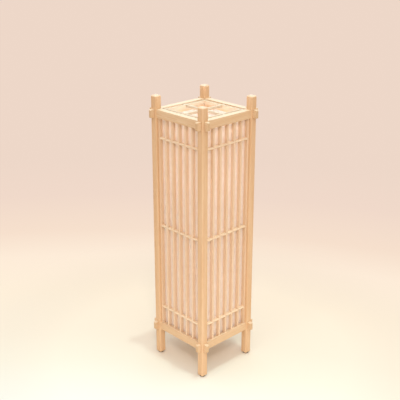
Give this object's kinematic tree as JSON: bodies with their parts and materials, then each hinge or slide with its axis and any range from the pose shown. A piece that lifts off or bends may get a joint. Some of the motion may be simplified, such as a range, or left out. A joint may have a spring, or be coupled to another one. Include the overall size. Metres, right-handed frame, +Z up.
{
  "type": "andon floor lamp",
  "caption": "Tall square floor lamp: wooden posts and rails with through tenons, fine wooden lattice over paper on every side, an open lattice lid, and a bulb on a base board inside.",
  "frame": {"origin": "on the floor, on the lamp's upright axis", "axes": "+Z up, front face towards -Y, right face towards +X"},
  "size_m": [0.258, 0.258, 0.9],
  "materials": {
    "frame_wood": "bare planed softwood, satin",
    "lattice_wood": "bare planed softwood, satin",
    "lid_wood": "bare planed softwood, satin",
    "paper": "translucent matte fibre paper",
    "batten_wood": "bare sawn softwood, matte",
    "base_plywood": "bare plywood, matte",
    "screw_steel": "zinc-plated, satin",
    "grommet_rubber": "matte",
    "holder_ceramic": "glazed",
    "holder_brass": "bare, satin",
    "bulb_solder": "dull solder",
    "bulb_insulation": "glossy",
    "bulb_cap_metal": "nickel-plated, satin",
    "bulb_plastic": "satin",
    "bulb_glass": "opal, satin",
    "glide_plastic": "matte"
  },
  "bodies": {
    "lamp_frame": {"post_front_left": "frame_wood", "post_front_right": "frame_wood", "post_back_right": "frame_wood", "post_back_left": "frame_wood", "top_rail_front": "frame_wood", "top_rail_right": "frame_wood", "top_rail_back": "frame_wood", "top_rail_left": "frame_wood", "bottom_rail_front": "frame_wood", "bottom_rail_right": "frame_wood", "bottom_rail_back": "frame_wood", "bottom_rail_left": "frame_wood", "stiles_front": "lattice_wood", "slats_front": "lattice_wood", "upper_bar_front": "lattice_wood", "middle_bar_front": "lattice_wood", "lower_bar_front": "lattice_wood", "stiles_right": "lattice_wood", "slats_right": "lattice_wood", "upper_bar_right": "lattice_wood", "middle_bar_right": "lattice_wood", "lower_bar_right": "lattice_wood", "stiles_back": "lattice_wood", "slats_back": "lattice_wood", "upper_bar_back": "lattice_wood", "middle_bar_back": "lattice_wood", "lower_bar_back": "lattice_wood", "stiles_left": "lattice_wood", "slats_left": "lattice_wood", "upper_bar_left": "lattice_wood", "middle_bar_left": "lattice_wood", "lower_bar_left": "lattice_wood", "lid_ledges": "lid_wood", "paper_front": "paper", "paper_right": "paper", "paper_back": "paper", "paper_left": "paper", "base_batten_front": "batten_wood", "base_batten_back": "batten_wood", "base_board": "base_plywood", "base_screws": "screw_steel", "cord_grommet": "grommet_rubber", "lampholder_body": "holder_ceramic", "lampholder_shell": "holder_brass", "lampholder_contact": "holder_brass", "lampholder_screws": "screw_steel", "foot_glides": "glide_plastic"},
    "lid": {"lid_bar_front": "lid_wood", "lid_bar_across": "lid_wood", "lid_bar_back": "lid_wood", "lid_bar_left": "lid_wood", "lid_bar_along": "lid_wood", "lid_bar_right": "lid_wood"},
    "bulb": {"bulb_tip": "bulb_solder", "bulb_insulator": "bulb_insulation", "bulb_cap": "bulb_cap_metal", "bulb_neck": "bulb_plastic", "bulb_globe": "bulb_glass"}
  },
  "joints": [
    {"name": "lid_lift", "type": "slide", "parent": "lamp_frame", "child": "lid", "axis": [0, 0, 1], "range_m": [0, 0.12]},
    {"name": "bulb_unscrew", "type": "slide", "parent": "lamp_frame", "child": "bulb", "axis": [0, 0, 1], "range_m": [0, 0.05]}
  ]
}
